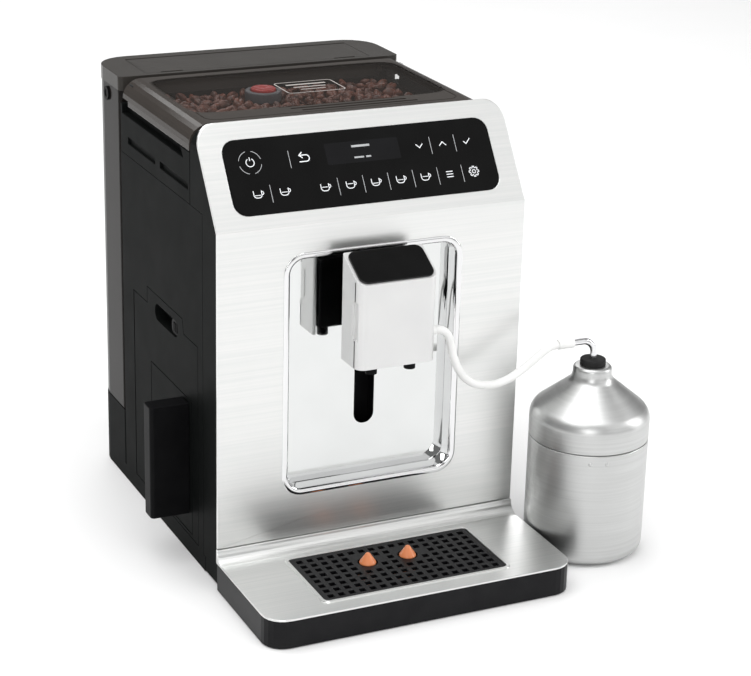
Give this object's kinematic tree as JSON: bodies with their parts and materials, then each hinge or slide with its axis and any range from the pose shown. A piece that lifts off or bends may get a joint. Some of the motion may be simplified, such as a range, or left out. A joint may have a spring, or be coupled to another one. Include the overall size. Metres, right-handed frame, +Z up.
{
  "type": "bean-to-cup coffee machine",
  "caption": "Bean-to-cup coffee machine with steel front, sliding spout, drip tray, smoked bean hopper and rear tank, joined by a hose to a steel milk jug.",
  "frame": {"origin": "middle of the flat underside, on the counter", "axes": "+X to the machine's right side, -Y towards its front, +Z up"},
  "size_m": [0.3585, 0.38, 0.3355],
  "materials": {
    "black_case": "satin",
    "dark_fittings": "satin",
    "rubber": "matte",
    "front_steel": "brushed",
    "jug_steel": "brushed",
    "tube_steel": "polished",
    "black_glass": "gloss",
    "bright_trim": "polished",
    "smoke": "gloss",
    "spout_silver": "satin",
    "circuit_board": "gloss",
    "knob_grey": "gloss",
    "burr_steel": "satin",
    "white_gear": "satin",
    "motor_can": "satin",
    "cast_block": "satin",
    "float_orange": "satin",
    "hose_silicone": "satin"
  },
  "bodies": {
    "machine": {"base_pan": "black_case", "feet": "rubber", "rear_wall": "black_case", "left_panel": "black_case", "right_panel": "black_case", "cord_gland": "dark_fittings", "tank_socket": "dark_fittings", "front_frame": "black_case", "front_panel": "front_steel", "control_glass": "black_glass", "control_board": "circuit_board", "recess_bezel": "bright_trim", "recess_plate": "bright_trim", "spout_guide": "dark_fittings", "top_housing": "black_case", "bean_hopper": "smoke", "lid_pins": "dark_fittings", "grinder_housing": "dark_fittings", "grinder_motor": "motor_can", "grounds_chute": "dark_fittings", "brew_chamber": "cast_block", "brew_motor": "motor_can", "thermoblock": "cast_block", "pump": "motor_can", "pump_mounts": "rubber", "main_board": "circuit_board", "jug_body": "jug_steel", "milk_hose": "hose_silicone"},
    "spout": {"spout_carriage": "dark_fittings", "spout_nozzles": "dark_fittings", "hose_barb": "hose_silicone"},
    "spout_front": {"spout_cover": "spout_silver", "spout_cap": "black_glass"},
    "tray": {"drip_tray": "black_case", "tray_cover": "front_steel"},
    "grid": {"drip_grid": "black_case"},
    "left_float": {"float_left": "float_orange"},
    "right_float": {"float_right": "float_orange"},
    "bean_lid": {"hopper_lid": "smoke"},
    "grind_adjuster": {"grind_knob": "knob_grey", "upper_burr": "burr_steel"},
    "driven_burr": {"lower_burr": "burr_steel", "burr_gear": "white_gear"},
    "grinder_pinion": {"motor_pinion": "white_gear"},
    "drive_screw": {"brew_screw": "burr_steel"},
    "screw_pinion": {"brew_pinion": "white_gear"},
    "piston": {"brew_piston": "dark_fittings"},
    "tank": {"water_tank": "smoke", "tank_valve": "dark_fittings", "tank_rim": "smoke", "tank_bosses": "black_glass"},
    "tank_flap": {"tank_lid": "smoke"},
    "side_door": {"service_door": "black_case"},
    "latch": {"door_latch": "dark_fittings"},
    "grounds_drawer": {"grounds_container": "black_case", "grounds_handle": "dark_fittings"},
    "jug_top": {"jug_lid": "jug_steel", "jug_stopper": "rubber", "jug_tube": "tube_steel", "hose_connector": "hose_silicone"}
  },
  "joints": [
    {"name": "spout_slide", "type": "slide", "parent": "machine", "child": "spout", "axis": [0, 0, -1], "range_m": [0, 0.06]},
    {"name": "spout_front_pull", "type": "slide", "parent": "spout", "child": "spout_front", "axis": [0, -1, 0], "range_m": [0, 0.04]},
    {"name": "tray_slide", "type": "slide", "parent": "machine", "child": "tray", "axis": [0, -1, 0], "range_m": [0, 0.12]},
    {"name": "grid_lift", "type": "slide", "parent": "tray", "child": "grid", "axis": [0, 0, 1], "range_m": [0, 0.04]},
    {"name": "left_float_rise", "type": "slide", "parent": "tray", "child": "left_float", "axis": [0, 0, 1], "range_m": [0, 0.006]},
    {"name": "right_float_rise", "type": "slide", "parent": "tray", "child": "right_float", "axis": [0, 0, 1], "range_m": [0, 0.006]},
    {"name": "bean_lid_hinge", "type": "hinge", "parent": "machine", "child": "bean_lid", "pos_m": [0, 0.112, 0.325], "axis": [-1, 0, 0], "range_deg": [0, 85]},
    {"name": "grind_knob_turn", "type": "hinge", "parent": "machine", "child": "grind_adjuster", "pos_m": [-0.018, 0.078, 0.32], "axis": [0, 0, 1], "range_deg": [0, 150]},
    {"name": "burr_spin", "type": "hinge", "parent": "machine", "child": "driven_burr", "pos_m": [-0.018, 0.078, 0.25], "axis": [0, 0, 1], "continuous": true},
    {"name": "grinder_pinion_spin", "type": "hinge", "parent": "machine", "child": "grinder_pinion", "pos_m": [0.014, 0.078, 0.225], "axis": [0, 0, 1], "continuous": true},
    {"name": "drive_screw_spin", "type": "hinge", "parent": "machine", "child": "drive_screw", "pos_m": [-0.028, 0.012, 0.15], "axis": [0, 0, 1], "range_deg": [0, 1530]},
    {"name": "screw_pinion_spin", "type": "hinge", "parent": "machine", "child": "screw_pinion", "pos_m": [-0.00133, 0.012, 0.126], "axis": [0, 0, 1], "range_deg": [-3570, 0]},
    {"name": "piston_rise", "type": "slide", "parent": "machine", "child": "piston", "axis": [0, 0, 1], "range_m": [0, 0.034]},
    {"name": "tank_lift", "type": "slide", "parent": "machine", "child": "tank", "axis": [0, 0, 1], "range_m": [0, 0.28]},
    {"name": "tank_flap_hinge", "type": "hinge", "parent": "tank", "child": "tank_flap", "pos_m": [0, 0.1765, 0.329], "axis": [-1, 0, 0], "range_deg": [0, 100]},
    {"name": "side_door_hinge", "type": "hinge", "parent": "machine", "child": "side_door", "pos_m": [-0.1154, 0.096, 0.09], "axis": [0, 0, -1], "range_deg": [0, 100]},
    {"name": "latch_slide", "type": "slide", "parent": "side_door", "child": "latch", "axis": [0, 1, 0], "range_m": [0, 0.006], "stiffness_N_per_m": 300},
    {"name": "drawer_slide", "type": "slide", "parent": "machine", "child": "grounds_drawer", "axis": [-1, 0, 0], "range_m": [0, 0.08]},
    {"name": "jug_top_lift", "type": "slide", "parent": "machine", "child": "jug_top", "axis": [0, 0, 1], "range_m": [0, 0.035]}
  ],
  "couplings": [
    {"joint": "grinder_pinion_spin", "follows": "burr_spin", "ratio": -3},
    {"joint": "screw_pinion_spin", "follows": "drive_screw_spin", "ratio": -2.3333},
    {"joint": "piston_rise", "follows": "drive_screw_spin", "m_per_rad": 0.0012732}
  ]
}
